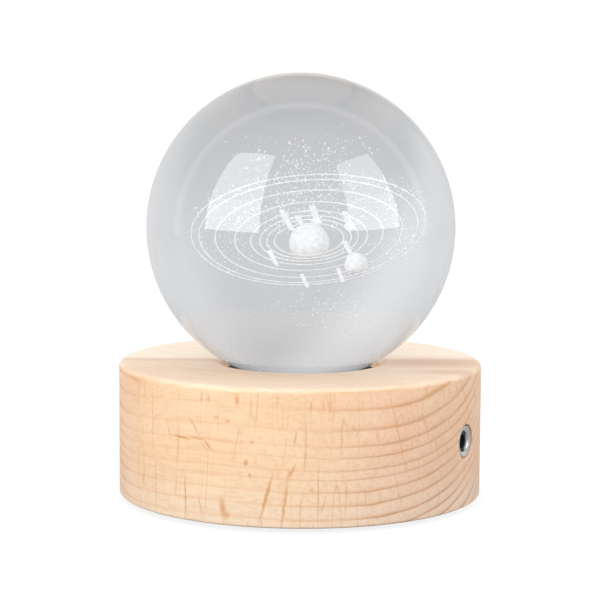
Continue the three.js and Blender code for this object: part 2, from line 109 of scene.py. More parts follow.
def block(name, low, high):
    middle = [(a + b) / 2 for a, b in zip(low, high)]
    bpy.ops.mesh.primitive_cube_add(size=1, location=place(middle))
    piece = added(name)
    piece.scale = place([b - a for a, b in zip(low, high)])
    settle(piece)
    return piece


def shaped(piece, kind, **settings):
    # a modifier with these settings, made part of the mesh
    selectOnly(piece)
    modifier = piece.modifiers.new(kind, kind)
    for name, value in settings.items():
        setattr(modifier, name, value)
    bpy.ops.object.modifier_apply(modifier=modifier.name)


def softEdges(piece, width, corner, segments=2):
    shaped(piece, "BEVEL", width=width * mm, segments=segments, limit_method="ANGLE",
           angle_limit=math.radians(corner))


def cutAway(piece, cutters):
    for cutter in cutters:
        shaped(piece, "BOOLEAN", operation="DIFFERENCE", solver="EXACT", object=cutter)
        bpy.data.objects.remove(cutter)


def smooth(piece, corner=30):
    selectOnly(piece)
    bpy.ops.object.shade_smooth_by_angle(angle=math.radians(corner))


def copied(piece, name, spot=(0, 0, 0), turn=0.0):
    twin = piece.copy()
    twin.data = piece.data.copy()
    twin.name = twin.data.name = name
    twin.location = place(spot)
    twin.rotation_euler = (0, 0, turn)
    bpy.context.scene.collection.objects.link(twin)
    settle(twin)
    return twin


def joined(pieces, name):
    bpy.ops.object.select_all(action="DESELECT")
    for piece in pieces:
        piece.select_set(True)
    bpy.context.view_layer.objects.active = pieces[0]
    bpy.ops.object.join()
    whole = added(name)
    settle(whole)
    return whole


def ringOf(count, circle, firstTurn):
    # places of equal pieces round the axis: x, y and turn
    turns = [math.radians(firstTurn) + 2 * math.pi * i / count for i in range(count)]
    return [(circle * math.cos(turn), circle * math.sin(turn), turn) for turn in turns]


def spread(piece, name, places, level, material, nodeName):
    # a copy of the piece at each place
    for i, (x, y, turn) in enumerate(places):
        twin = copied(piece, f"{name}{i + 1}", (x, y, level), turn)
        finished(twin, material, "base", [f"{nodeName}_{i + 1}"])
    bpy.data.objects.remove(piece)


def finished(piece, material, body, replaced=()):
    piece.data.materials.clear()
    piece.data.materials.append(material)
    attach(piece, body)
    if replaced:
        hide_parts(*replaced)


def dressed(material, *nodeNames):
    # a solid whose shape is right keeps it, and gets the material
    for nodeName in nodeNames:
        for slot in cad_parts[nodeName].material_slots:
            slot.material = material


# Ways of making a material

def linear(code):
    shares = [int(code[i:i + 2], 16) / 255 for i in (1, 3, 5)]
    return tuple(v / 12.92 if v <= 0.04045 else ((v + 0.055) / 1.055) ** 2.4 for v in shares) + (1,)


# settings that most nodes of these kinds have
usual = {"Mix": {"data_type": "RGBA"}, "MapRange": {"interpolation_type": "SMOOTHSTEP"}}


def add(tree, kind, inputs=(), operation=None, **settings):
    # The inputs come by name or in their order, each a value or another node's output. Those of a
    # MapRange are the value, the range it comes from and the range it goes to.
    node = tree.nodes.new("ShaderNode" + kind)
    for name, value in {**usual.get(kind, {}), **settings}.items():
        setattr(node, name, value)
    if operation:
        node.operation = operation
    pairs = inputs.items() if isinstance(inputs, dict) else enumerate(inputs)
    for socket, value in pairs:
        if isinstance(value, bpy.types.NodeSocket):
            tree.links.new(value, node.inputs[socket])
        else:
            node.inputs[socket].default_value = value
    return next(output for output in node.outputs if output.enabled)


def connect(shader, links):
    for socket, source in links.items():
        shader.id_data.links.new(source, shader.inputs[socket])


def newMaterial(name, values):
    material = bpy.data.materials.new(name)
    material.use_nodes = True
    tree = material.node_tree
    shader = tree.nodes["Principled BSDF"]
    for socket, value in values.items():
        shader.inputs[socket].default_value = value
    coords = add(tree, "TexCoord").node
    scaled = add(tree, "VectorMath", {0: coords.outputs["Object"], "Scale": 1 / mm}, "SCALE")
    return material, tree, shader, scaled


def setRamp(ramp, stops):
    # stops are (place, colour) pairs, the colour a hex code or a grey level
    elements = ramp.node.color_ramp.elements
    while len(elements) > 1:
        elements.remove(elements[-1])
    for i, (spot, colour) in enumerate(stops):
        element = elements[0] if i == 0 else elements.new(spot)
        element.position = spot
        element.color = linear(colour) if isinstance(colour, str) else (colour, colour, colour, 1)


def speckled(name, tones, roughness, grain, bump, values=None, stretch=(1, 1, 1)):
    # two tones in grains of that size in millimetres, with roughness and bump from the same grains
    material, tree, shader, spot = newMaterial(name, values or {})
    longer = add(tree, "VectorMath", [spot, stretch], "MULTIPLY")
    noise = add(tree, "TexNoise", {"Vector": longer, "Scale": 1 / grain, "Detail": 3.0})
    tone = add(tree, "ValToRGB", {"Fac": noise})
    setRamp(tone, [(0.35, tones[0]), (0.65, tones[1])])
    gloss = add(tree, "MapRange", [noise, 0.0, 1.0, roughness[0], roughness[1]],
                interpolation_type="LINEAR")
    relief = add(tree, "Bump", {"Height": noise, "Strength": bump, "Distance": 0.1 * mm})
    connect(shader, {"Base Color": tone, "Roughness": gloss, "Normal": relief})
    return material


# Camera
view = {
    "distance": 551.2,  # from the lamp's axis, in millimetres
    "height": 118.63,
    "dip": 6.957,  # degrees below level
    "roll": 0.32,  # degrees round the line of sight
    "lens": 127.95,
    "shift": (-0.0009, -0.0013),
}


def seen(right, away, up=0.0):
    # a place given from the camera's side, turned into the part's frame
    turn = math.radians(lamp["cameraTurn"])
    return Vector((right * math.cos(turn) - away * math.sin(turn),
                   right * math.sin(turn) + away * math.cos(turn), up))


aim = (Euler((math.radians(90 - view["dip"]), 0, math.radians(lamp["cameraTurn"]))).to_matrix()
       @ Matrix.Rotation(math.radians(view["roll"]), 3, "Z"))
bpy.ops.object.camera_add(location=seen(0, -view["distance"], view["height"]) * mm,
                          rotation=aim.to_euler())
camera = bpy.context.active_object
camera.name = "camera"
camera.data.lens = view["lens"]
camera.data.sensor_width = 36
camera.data.shift_x, camera.data.shift_y = view["shift"]
camera.data.clip_start = 0.01
bpy.context.scene.camera = camera
print("camera is in place")


# Studio: a white floor and room, soft lamps, and two windows that only the glass mirrors
studio = {
    "floorRadius": 2500,
    "floorTone": "#707173",
    "floorGlow": 0.85,  # what the camera sees on top of the lit floor
    "floorLit": 0.17,  # how bright the lamps make the floor
    # light on the object from all round: from the sides and from above
    "sideFill": (0.97, 0.95, 0.93),
    "skyFill": (1.04, 1.03, 1.03),
    # how light the room looks in glass and metal: overall, then (direction, from, to, change)
    "roomTone": 0.82,
    "roomShades": [
        ((-0.85, 0.0, 0.52), 0.15, 0.45, 0.20),
        ((-0.85, 0.0, 0.52), 0.48, 0.8, -0.10),
        ((0.95, 0.0, 0.3), 0.3, 0.65, 0.12),
        ((-0.73, 0.64, -0.25), 0.92, 1.0, -0.08),
        ((0.73, 0.64, -0.25), 0.92, 1.0, -0.05),
        ((0.0, 0.6, 0.8), 0.82, 0.97, -0.08),
        ((0.0, 0.0, -1.0), 0.05, 0.7, -0.15),
        ((0.0, -0.99, 0.12), -0.55, -0.15, -0.16),
    ],
    "focus": (0, 49.8, 65.6),  # where the light that comes through the ball crosses, behind it
    "archAxis": (0, 0.9975, -0.07),  # a faint arch of light on the floor stands round this direction
    "archTurn": 39.4,  # degrees between the axis and the arch
    "archWidth": 0.042,
    "archTone": 0.085,
    "skyRise": (0.1, 0.9),  # where the light from the sides turns into that from above
    # the lamps: power, place and tint
    "lamps": {
        "keyLight": (6.8, (-740, -860, 480), (1.0, 0.965, 0.90)),
        "sideLight": (3.5, (900, -500, 500), (1, 0.98, 0.96)),
    },
    "lampSize": 500,
    "lampAim": 30,  # level on the lamp's axis that they point to
    # the windows: both corners (right, away), lowest and highest level, glow above and below the sill
    "windows": {
        "windowLeft": [(-1500, -450), (-600, -1044), 85, 1850, (4.6, 5.8)],
        "windowRight": [(679, -989), (1162, -300), 110, 1400, (3.9, 5.0)],
    },
    "sill": (548, 572),  # levels between which the glow changes
}


def surroundings(tree, way):
    # tone of the room in a direction
    tone = studio["roomTone"]
    for (right, away, up), low, high, change in studio["roomShades"]:
        facing = add(tree, "VectorMath", [way, seen(right, away, up)], "DOT_PRODUCT")
        shade = add(tree, "MapRange", [facing, low, high, 0.0, change])
        tone = add(tree, "Math", [shade, tone], "ADD")
    return tone


def archOfLight(tree, way):
    ahead = add(tree, "VectorMath", [way, seen(*studio["archAxis"])], "DOT_PRODUCT")
    off = add(tree, "Math", [ahead, math.cos(math.radians(studio["archTurn"]))], "SUBTRACT")
    near = add(tree, "Math", [off], "ABSOLUTE")
    return add(tree, "MapRange", [near, 0.0, studio["archWidth"], studio["archTone"], 0.0])


def seenBy(tree, path):
    # 1 for what the camera, a gloss or a glass shows, and 0 for light on the object
    first = add(tree, "Math", [path.outputs["Is Camera Ray"], path.outputs["Is Glossy Ray"]], "MAXIMUM")
    return add(tree, "Math", [first, path.outputs["Is Transmission Ray"]], "MAXIMUM")


def buildFloor():
    bpy.ops.mesh.primitive_circle_add(vertices=96, radius=studio["floorRadius"] * mm, fill_type="NGON")
    floor = added("floor")
    material, tree, shader, spot = newMaterial("floorPaper", {
        "Roughness": 1.0, "Specular IOR Level": 0.0})
    shader.inputs["Base Color"].default_value = linear(studio["floorTone"])
    fromFocus = add(tree, "VectorMath", [spot, seen(*studio["focus"])], "SUBTRACT")
    way = add(tree, "VectorMath", [fromFocus], "NORMALIZE")
    tone = add(tree, "Math", [surroundings(tree, way), archOfLight(tree, way)], "ADD")
    rest = add(tree, "Math", [tone, studio["floorLit"]], "SUBTRACT")
    path = add(tree, "LightPath").node
    glow = add(tree, "Mix", {"Factor": path.outputs["Is Camera Ray"], "A": rest,
                             "B": studio["floorGlow"]}, data_type="FLOAT")
    shown = add(tree, "Math", [glow, seenBy(tree, path)], "MULTIPLY")
    light = add(tree, "Emission", {"Strength": shown, "Color": (1, 1, 1, 1)})
    both = add(tree, "AddShader", [shader.outputs["BSDF"], light])
    tree.links.new(both, tree.nodes["Material Output"].inputs["Surface"])
    floor.data.materials.append(material)


def buildWorld():
    world = bpy.data.worlds.new("studio")
    bpy.context.scene.world = world
    world.use_nodes = True
    tree = world.node_tree
    way = add(tree, "TexCoord").node.outputs["Generated"]
    rise = add(tree, "SeparateXYZ", [way]).node.outputs["Z"]
    sky = add(tree, "MapRange", [rise, *studio["skyRise"]])
    sides, above = (*studio["sideFill"], 1), (*studio["skyFill"], 1)
    fill = add(tree, "Mix", {"Factor": sky, "A": sides, "B": above})
    path = add(tree, "LightPath").node
    tone = add(tree, "Math", [surroundings(tree, way), path.outputs["Is Camera Ray"]], "MAXIMUM")
    shown = add(tree, "Mix", {"Factor": seenBy(tree, path), "A": fill, "B": tone})
    tree.links.new(shown, tree.nodes["Background"].inputs["Color"])


def buildLamp(name, power, spot, tint):
    start = seen(*spot) * mm
    facing = (start - Vector((0, 0, studio["lampAim"])) * mm).to_track_quat("Z", "Y")
    bpy.ops.object.light_add(type="AREA", location=start, rotation=facing.to_euler())
    light = bpy.context.active_object
    light.name = name
    light.data.energy = power
    light.data.color = tint
    light.data.size = studio["lampSize"] * mm
    light.visible_glossy = False
    light.visible_transmission = False


def buildWindow(name, first, second, low, high, glows):
    # a glowing card that only glossy surfaces see, brighter below the sill
    first, second = seen(*first), seen(*second)
    middle = (first + second) / 2
    along = second - first
    bpy.ops.mesh.primitive_plane_add(
        size=1, location=(middle.x * mm, middle.y * mm, (low + high) / 2 * mm),
        rotation=(math.radians(90), 0, math.atan2(along.y, along.x)))
    card = added(name)
    card.scale = (along.length * mm, (high - low) * mm, 1)
    settle(card)
    material, tree, shader, spot = newMaterial(name + "Glow", {})
    height = add(tree, "SeparateXYZ", [spot]).node.outputs["Z"]
    glow = add(tree, "MapRange", [height, *studio["sill"], glows[1], glows[0]])
    light = add(tree, "Emission", {"Strength": glow, "Color": (1, 1, 1, 1)})
    tree.links.new(light, tree.nodes["Material Output"].inputs["Surface"])
    card.data.materials.append(material)
    card.visible_camera = card.visible_diffuse = card.visible_transmission = card.visible_shadow = False


buildFloor()
buildWorld()
for lampName, settings in studio["lamps"].items():
    buildLamp(lampName, *settings)
for windowName, corners in studio["windows"].items():
    buildWindow(windowName, *corners)
print("studio is built")


# Glass ball
glass = {
    "cuts": 62,  # of each side of the cube that the ball grows from
    # painted shade: the grey tint stands in for the dimmer room seen through the ball
    "tint": ("#dddfe2", "#e1e3e6"),
    "ior": 1.52,
}


def opticalGlass():
    # Optical glass, ground and polished: clear and mirror smooth, its grey tint in soft uneven patches a
    # painted shade standing in for the dimmer room seen through the ball
    material, tree, shader, spot = newMaterial("polishedOpticalGlass", {
        "Transmission Weight": 1.0, "IOR": glass["ior"], "Roughness": 0.0})
    shadePatches = add(tree, "TexNoise", {"Vector": spot, "Scale": 1 / 60, "Detail": 1.0})
    tone = add(tree, "ValToRGB", {"Fac": shadePatches})
    setRamp(tone, [(0.3, glass["tint"][0]), (0.7, glass["tint"][1])])
    connect(shader, {"Base Color": tone})
    return material


def buildBall():
    centre = place((0, 0, lamp["ballCentre"]))
    bpy.ops.mesh.primitive_cube_add(size=lamp["ballRadius"] * mm, location=centre)
    ball = added("glassBall")
    bpy.ops.object.mode_set(mode="EDIT")
    bpy.ops.mesh.subdivide(number_cuts=glass["cuts"])
    bpy.ops.object.mode_set(mode="OBJECT")
    shaped(ball, "CAST", factor=1, use_radius_as_size=False, size=lamp["ballRadius"] * mm)
    settle(ball)
    bpy.ops.object.shade_smooth()
    ball.visible_shadow = False  # clear glass lets the light through to the wood
    finished(ball, opticalGlass(), "ball", ["crystal_ball"])


buildBall()
print("glass ball is ground and polished")


# Laser marks inside the glass
marks = {
    "middle": (1.36, 4.04, -2.41),  # right, away and up from the ball's middle
    "tilt": 23.46,
    "roll": -3.45,
    "orbits": (19.01, 17.78, 15.22, 12.08, 9.51, 8.03, 6.90, 5.67),
    "lineRadius": 0.11,
    "sun": (0.0, -0.9, 3.3),  # place in the plane of the orbits, and radius
    "planet": (8.5, -10.7, 2.15),
    # short bars beside the planets: both ends in the plane of the orbits, and half width
    "bars": [
        ((-4.0, 10.2), (-2.7, 3.9), 0.42), ((-1.8, 8.2), (-0.7, 4.2), 0.42),
        ((0.5, 10.9), (1.3, 6.6), 0.46), ((5.4, 8.6), (6.3, 4.4), 0.46),
        ((5.9, -1.1), (7.1, -5.8), 0.42), ((-6.7, -3.1), (-5.9, -8.5), 0.42),
        ((-1.5, -13.8), (-0.4, -20.3), 0.40), ((5.2, -12.0), (6.5, -18.5), 0.40),
    ],
    "moons": [(1.3, 6.0, 0.8), (6.4, 4.0, 0.85), (-5.8, -9.0, 0.35), (-0.4, -20.0, 0.35),
              (6.6, -18.6, 0.35)],
    # dots of star dust: over the far half of the orbits, at the right end of the outer ones, all over,
    # above and behind, and in front and below; then their radius, and the clear glass outside them
    "dust": {"haze": 1500, "rightEnd": 260, "disc": 300, "above": 260, "front": 260},
    "dotRadius": (0.065, 0.16),
    "margin": 10.5,
    "seed": 7,
    "glow": 0.14,  # stands for the light that the cracks gather inside the glass
}


def orbitFrame():
    tilt, roll = math.radians(marks["tilt"]), math.radians(marks["roll"])
    across = Vector((math.cos(roll), 0, -math.sin(roll)))
    normal = Vector((math.sin(roll) * math.cos(tilt), -math.sin(tilt), math.cos(roll) * math.cos(tilt)))
    back = normal.cross(across)
    middle = Vector(marks["middle"])
    return middle, across, back, normal


def inOrbit(u, v, w=0.0):
    middle, across, back, normal = orbitFrame()
    spot = middle + across * u + back * v + normal * w
    return (seen(spot.x, spot.y, spot.z) + Vector((0, 0, lamp["ballCentre"]))) * mm


def laserMarks():
    # Laser engraving: clouds of tiny cracks that scatter light, white and powdery, with a painted glow
    # from their emission that lights them from within
    material, tree, shader, spot = newMaterial("laserCrackedGlass", {
        "Roughness": 0.9, "Specular IOR Level": 0.1, "Emission Strength": marks["glow"]})
    cloud = add(tree, "TexNoise", {"Vector": spot, "Scale": 1.6, "Detail": 3.0})
    tone = add(tree, "ValToRGB", {"Fac": cloud})
    setRamp(tone, [(0.36, "#eceff2"), (0.62, "#fbfcfd")])
    relief = add(tree, "Bump", {"Height": cloud, "Strength": 0.1, "Distance": 0.1 * mm})
    connect(shader, {"Base Color": tone, "Emission Color": tone, "Normal": relief})
    return material


def roughened(piece, name, grain, strength):
    texture = bpy.data.textures.new(name, "CLOUDS")
    texture.noise_scale = grain * mm
    shaped(piece, "DISPLACE", texture=texture, strength=strength * mm)
    bpy.ops.object.shade_smooth()
    return piece


def buildOrbits():
    middle, across, back, normal = orbitFrame()
    facing = seen(normal.x, normal.y, normal.z).to_track_quat("Z", "Y").to_euler()
    rings = []
    for radius in marks["orbits"]:
        bpy.ops.mesh.primitive_torus_add(
            location=inOrbit(0, 0), rotation=facing, major_radius=radius * mm,
            minor_radius=marks["lineRadius"] * mm, major_segments=240, minor_segments=6)
        rings.append(bpy.context.active_object)
    return roughened(joined(rings, "engravedOrbits"), "orbitGrain", 0.4, 0.05)


def buildPlanets():
    pieces = []
    for u, v, radius in [marks["sun"], marks["planet"], *marks["moons"]]:
        bpy.ops.mesh.primitive_ico_sphere_add(subdivisions=4 if radius > 1 else 3, radius=radius * mm,
                                              location=inOrbit(u, v))
        pieces.append(bpy.context.active_object)
    return roughened(joined(pieces, "engravedPlanets"), "planetGrain", 0.6, 0.05)


def buildBars():
    pieces = []
    for start, end, half in marks["bars"]:
        low, high = inOrbit(*start), inOrbit(*end)
        along = high - low
        bpy.ops.mesh.primitive_cube_add(size=1, location=(low + high) / 2,
                                        rotation=along.to_track_quat("Z", "Y").to_euler())
        bar = bpy.context.active_object
        bar.scale = (2 * half * mm, 0.9 * half * mm, along.length)
        pieces.append(bar)
    bars = joined(pieces, "engravedBars")
    softEdges(bars, 0.12, 30)
    return bars


def buildStarDust():
    # one dot of eight faces, copied to seeded random places
    draw = random.Random(marks["seed"])
    bpy.ops.mesh.primitive_uv_sphere_add(segments=4, ring_count=3, radius=1, location=(0, 0, 0))
    dot = bpy.context.active_object
    spots = []
    dust = marks["dust"]
    limit = lamp["ballRadius"] - marks["margin"]
    middle = Vector((0, 0, lamp["ballCentre"])) * mm

    def keep(spot, size):
        if (spot - middle).length < limit * mm:
            spots.append((spot, size))

    # flat clouds: count, thickness, and how far out and how far round each dot lies
    flatClouds = (
        (dust["haze"], 0.4,
         lambda: (20 * math.sqrt(draw.uniform(0.06, 1)), draw.gauss(math.pi / 2, 0.75))),
        (dust["rightEnd"], 0.4, lambda: (draw.uniform(14, 20), draw.gauss(-0.1, 0.45))),
        (dust["disc"], 0.5, lambda: (21 * math.sqrt(draw.random()), draw.uniform(0, 2 * math.pi))),
    )
    for count, thickness, drawPlace in flatClouds:
        for _ in range(count):
            reach, turn = drawPlace()
            keep(inOrbit(reach * math.cos(turn), reach * math.sin(turn), draw.gauss(0, thickness)),
                 draw.random())
    for _ in range(dust["above"]):
        keep(inOrbit(draw.triangular(-11, 9, 1), draw.triangular(16, 25.2, 21.5),
                     draw.triangular(-1.5, 3, 1)), draw.random())
    for _ in range(dust["front"]):
        keep(inOrbit(draw.gauss(5.5, 5.5), -18 + draw.gauss(0, 3), draw.gauss(-6, 2.6)),
             draw.uniform(0.6, 1.15))
    small, large = marks["dotRadius"]
    copies = []
    for spot, size in spots:
        twin = dot.copy()
        twin.data = dot.data.copy()
        twin.location = spot
        twin.scale = (small + (large - small) * size ** 3) * mm * Vector((1, 1, 1))
        bpy.context.scene.collection.objects.link(twin)
        copies.append(twin)
    bpy.data.objects.remove(dot)
    return joined(copies, "engravedStarDust")


crackedGlass = laserMarks()
finished(buildOrbits(), crackedGlass, "ball",
         [f"orbit_mark_{i + 1}" for i in range(len(marks["orbits"]))])
finished(buildPlanets(), crackedGlass, "ball", ["sun_mark", "planet_mark"])
finished(buildBars(), crackedGlass, "ball")
finished(buildStarDust(), crackedGlass, "ball")
print("laser marks are drawn")


# Wooden base
wood = {
    "steps": 256,
    "edge": 0.55,  # rounding of the lower edge
    "topRound": 1.4,
    "rimRound": (2.3, 1.2),  # of the seat's edge, across and down
    "roundSteps": 10,
    # the tree's middle: a line above and behind, along the grain
    "grainTurn": -1.96,  # degrees from +X round to the grain
    "grainDip": -2.86,
    "pith": (-50.54, 119.75),  # its place across the grain, and its height
    # how the growth bends away from circles: across, across with height, along, along with across
    "bends": (-2.80, -3.10, -7.22, -2.92),
    "reach": (47.0, 17.0, 18.0),  # the wood's half width, half height and middle, which the bends go by
    "trunk": 95,  # the wood's usual distance from the tree's middle
    # distances of the dark lines that end each year's growth
    "years": (80.6, 84.5, 88.1, 92.36, 95.66, 97.98, 100.59, 102.39, 105.02, 107.86, 110.75,
              113.16, 115.48, 118.96, 122.1, 125.5, 128.4, 132.0, 134.9, 138.5, 141.2, 144.9, 147.8,
              151.4, 154.6),
    # how dark the wood is from the start of a year's growth to its end
    "season": [(0.0, 0.45), (0.06, 0.06), (0.3, 0.0), (0.62, 0.10), (0.80, 0.30), (0.90, 0.85),
               (0.96, 1.0), (1.0, 0.5)],
    "lineStrength": (0.58, 0.95),  # along the grain, and across it
    # brown streaks on the wall: turn from the camera, level, half height, half width, lean and strength
    "streaks": [
        (-37.9, 21.8, 0.29, 2.87, -4, 0.95), (-31.9, 22.0, 0.33, 2.24, -5, 0.75),
        (-22.1, 21.8, 0.31, 5.65, -5, 0.35), (-33.0, 24.8, 2.8, 0.3, 37, 0.6),
        (-28.2, 20.6, 1.8, 0.36, 48, 0.8), (-29.6, 20.2, 1.3, 0.3, 45, 0.5),
        (-30.4, 32.2, 1.3, 0.34, 0, 0.45), (-27.9, 32.1, 1.2, 0.32, 0, 0.6),
        (-18.8, 32.4, 1.3, 0.5, 4, 0.85), (-6.6, 32.5, 2.0, 0.26, 0, 0.45),
        (-25.5, 27.6, 0.6, 0.8, 20, 0.5), (-21.7, 26.9, 0.5, 0.7, 0, 0.55),
        (-43.1, 23.1, 3.4, 0.24, 20, 0.4), (-14.1, 22.2, 0.6, 0.6, 0, 0.6),
        (-1.3, 23.3, 1.9, 0.32, -10, 0.6), (-16.0, 17.1, 0.9, 0.6, -12, 0.8),
        (-13.0, 17.4, 0.7, 0.4, -20, 0.4), (-14.8, 14.0, 0.6, 0.5, 0, 0.7),
        (-9.7, 9.1, 6.0, 0.46, -15, 0.85), (-2.3, 15.2, 2.0, 0.36, -25, 0.7),
        (-4.3, 7.5, 6.0, 0.34, -8, 0.8), (-36.4, 7.7, 6.6, 0.26, 4, 0.7),
        (-30.9, 5.5, 3.2, 0.24, 14, 0.5), (-23.3, 5.4, 2.6, 0.9, 8, 0.75),
        (-22.3, 3.8, 1.2, 1.2, 0, 0.6), (3.2, 31.1, 1.4, 0.32, 0, 0.6),
        (6.9, 31.8, 2.0, 0.24, 0, 0.5), (1.6, 18.6, 3.4, 0.28, -3, 0.5), (5.5, 9.7, 7.2, 0.24, 0, 0.65),
        (30.4, 24.2, 10.4, 0.22, 15, 0.6), (12.6, 22.4, 2.6, 0.22, 0, 0.35),
        (44.5, 32.9, 0.45, 5.01, 17, 0.75), (-60.4, 33.6, 0.76, 4.34, -6, 0.5),
        (-59.0, 30.8, 2.62, 0.42, 0, 0.3), (-55.0, 31.1, 2.86, 0.33, 0, 0.3),
        (-50.7, 24.8, 9.52, 0.34, 0, 0.32), (-49.2, 9.1, 7.14, 0.33, 0, 0.32),
        (-55.7, 11.2, 6.19, 0.38, 0, 0.25), (17.6, 24.3, 6.19, 0.2, 0, 0.28),
        (13.7, 6.6, 3.81, 0.22, 0, 0.3), (19.8, 8.0, 2.62, 0.25, 0, 0.35),
    ],
    "paintedLitBack": (0.0, 4.5),  # how far behind the middle the painted light that makes the top's back pale begins and is full
    "topLines": 0.12,  # how strong the yearly lines are on the top
    # soft darker bands on the top, the two beside the ball its painted shadow and the two in front darker
    # patches: right, away, half length, half width, turn and strength
    "ballShadowAndBands": [
        (-29.0, -0.8, 17.0, 2.4, -4, 0.4), (35.0, -3.5, 17.0, 9.5, -2, 0.85),
        (-25.0, -17.5, 13.0, 1.6, -28, 0.18), (38.0, -19.0, 11.0, 5.0, -4, 0.75),
    ],
    "topDepth": (0.95, 0.55),  # below the top: where the wall's tones end, and where the top's are full
    # the wall is paler at its foot, painted light that stands in for light bounced up from the floor, and
    # warmer near its top: from and to these levels, and how much
    "foot": (3.0, 12.0, 0.62),
    "warm": (19.0, 31.0, 0.4),
    "rayCount": 11.0,  # ribbons of rays for each step of the noise that places them
    "rayShown": (0.06, 0.62),  # the faintest and the strongest ray
    "tones": {
        # the top's front tone is painted shade and its pale back tone is painted light
        "cream": ("#f5cfa8", "#f9d7b2", "#fbddbb"), "pink": ("#f0c8aa", "#f5d4ba"),
        # the foot tone is painted light bounced up from the floor
        "foot": "#fbe6d0", "warm": "#efc9a2", "front": ("#e5c9ad", "#eed9c3"), "paintedLitBack": "#fbe9d5",
        "fibre": "#f5efe8", "faintLine": "#e9b98b", "strongLine": "#ce9464", "ray": "#e0ac7c",
        "streak": "#d9995f", "band": "#d0a98f",
    },
    # radius and level of the window's ledge, and of the tops of the cavity and of the cover's recess
    "ledge": (12.01, 23.7),
    "cavity": (33.15, 21.5),
    "recess": (40.45, 3.7),
    # hole for the jack, as radius and distance from the axis, and the pocket behind it, by its corners
    "bore": [(0, 36), (3.8, 36), (3.8, 45.0), (4.3, 45.0), (4.3, 46.85), (4.75, 47.3), (4.75, 49),
             (0, 49)],
    "pocket": ((19.61, -8, 1), (37.65, 8, 24.8)),
}


def growth(tree, spot):
    # distance from the tree's middle, bent as the real growth is, with places along and round the trunk
    turn, dip = math.radians(wood["grainTurn"]), math.radians(wood["grainDip"])
    along = Vector((math.cos(dip) * math.cos(turn), math.cos(dip) * math.sin(turn), math.sin(dip)))
    across = Vector((-math.sin(turn), math.cos(turn), 0))
    pithAcross, pithHeight = wood["pith"]
    pith = across * pithAcross + Vector((0, 0, pithHeight))
    acrossBend, heightBend, alongBend, crossBend = wood["bends"]
    radius, half, middle = wood["reach"]
    mixed = (across * acrossBend + along * crossBend) / radius + Vector((0, 0, heightBend / half))
    out = add(tree, "VectorMath", [spot, pith], "SUBTRACT")
    cross = add(tree, "VectorMath", [out, along], "CROSS_PRODUCT")
    straight = add(tree, "VectorMath", [cross], "LENGTH")
    acrossShare, mixedShare, alongShare = (
        add(tree, "VectorMath", [spot, direction], "DOT_PRODUCT")
        for direction in (across / radius, mixed, along / radius))
    level = add(tree, "Math", [mixedShare, -heightBend * middle / half], "ADD")
    bent = add(tree, "Math", [acrossShare, level, straight], "MULTIPLY_ADD")
    endness = add(tree, "Math", [alongShare, alongShare], "MULTIPLY")
    distance = add(tree, "Math", [endness, alongBend, bent], "MULTIPLY_ADD")
    side, depth = (add(tree, "VectorMath", [out, direction], "DOT_PRODUCT")
                   for direction in (across, (0, 0, -1)))
    angle = add(tree, "Math", [side, depth], "ARCTAN2")
    trunk = add(tree, "CombineXYZ", [alongShare, angle, distance])
    scaled = add(tree, "VectorMath", [trunk, (radius, wood["trunk"], 1)], "MULTIPLY")
    return distance, endness, scaled


def seasons(tree, distance):
    # the curve turns a distance into a count of years, and the ramp darkens the end of each
    years = wood["years"]
    share = add(tree, "MapRange", [distance, years[0], years[-1]], interpolation_type="LINEAR")
    count = add(tree, "FloatCurve", {"Value": share})
    points = count.node.mapping.curves[0].points
    for year in years[1:-1]:
        points.new((year - years[0]) / (years[-1] - years[0]), 0.5)
    for i, point in enumerate(points):
        point.location = ((years[i] - years[0]) / (years[-1] - years[0]), i / (len(years) - 1))
        point.handle_type = "VECTOR"
    count.node.mapping.update()
    whole = add(tree, "Math", [count, float(len(years) - 1)], "MULTIPLY")
    season = add(tree, "Math", [whole], "FRACT")
    late = add(tree, "ValToRGB", {"Fac": season})
    setRamp(late, wood["season"])
    return late


def plainBeech(tree, bent, slow, height, ends, flat):
    # creamy along the grain, pinker across it, a little cloudy
    tones = wood["tones"]
    cloud = add(tree, "TexNoise", {"Vector": slow, "Scale": 1 / 14, "Detail": 3.0})
    cream = add(tree, "ValToRGB", {"Fac": cloud})
    setRamp(cream, zip((0.32, 0.5, 0.68), tones["cream"]))
    pink = add(tree, "ValToRGB", {"Fac": cloud})
    setRamp(pink, zip((0.32, 0.68), tones["pink"]))
    plain = add(tree, "Mix", {"Factor": ends, "A": cream, "B": pink})

    # the wall: paler at its foot, painted light bounced up from the floor, and warmer near its top
    footStart, footEnd, footShare = wood["foot"]
    low = add(tree, "MapRange", [height, footStart, footEnd, footShare, 0.0])
    paler = add(tree, "Mix", {"Factor": low, "A": plain, "B": linear(tones["foot"])})
    warmStart, warmEnd, warmShare = wood["warm"]
    high = add(tree, "MapRange", [height, warmStart, warmEnd, 0.0, warmShare])
    warmer = add(tree, "Mix", {"Factor": high, "A": paler, "B": linear(tones["warm"])})

    # the flat top: painted light makes the back pale, and painted shade makes the front a little darker
    # and pinker
    front = add(tree, "ValToRGB", {"Fac": cloud})
    setRamp(front, zip((0.32, 0.68), tones["front"]))
    back = add(tree, "VectorMath", [bent, seen(0, 1)], "DOT_PRODUCT")
    behind = add(tree, "MapRange", [back, *wood["paintedLitBack"]])
    paintedLitBack = add(tree, "Mix", {"Factor": behind, "A": front, "B": linear(tones["paintedLitBack"])})
    return add(tree, "Mix", {"Factor": flat, "A": warmer, "B": paintedLitBack})


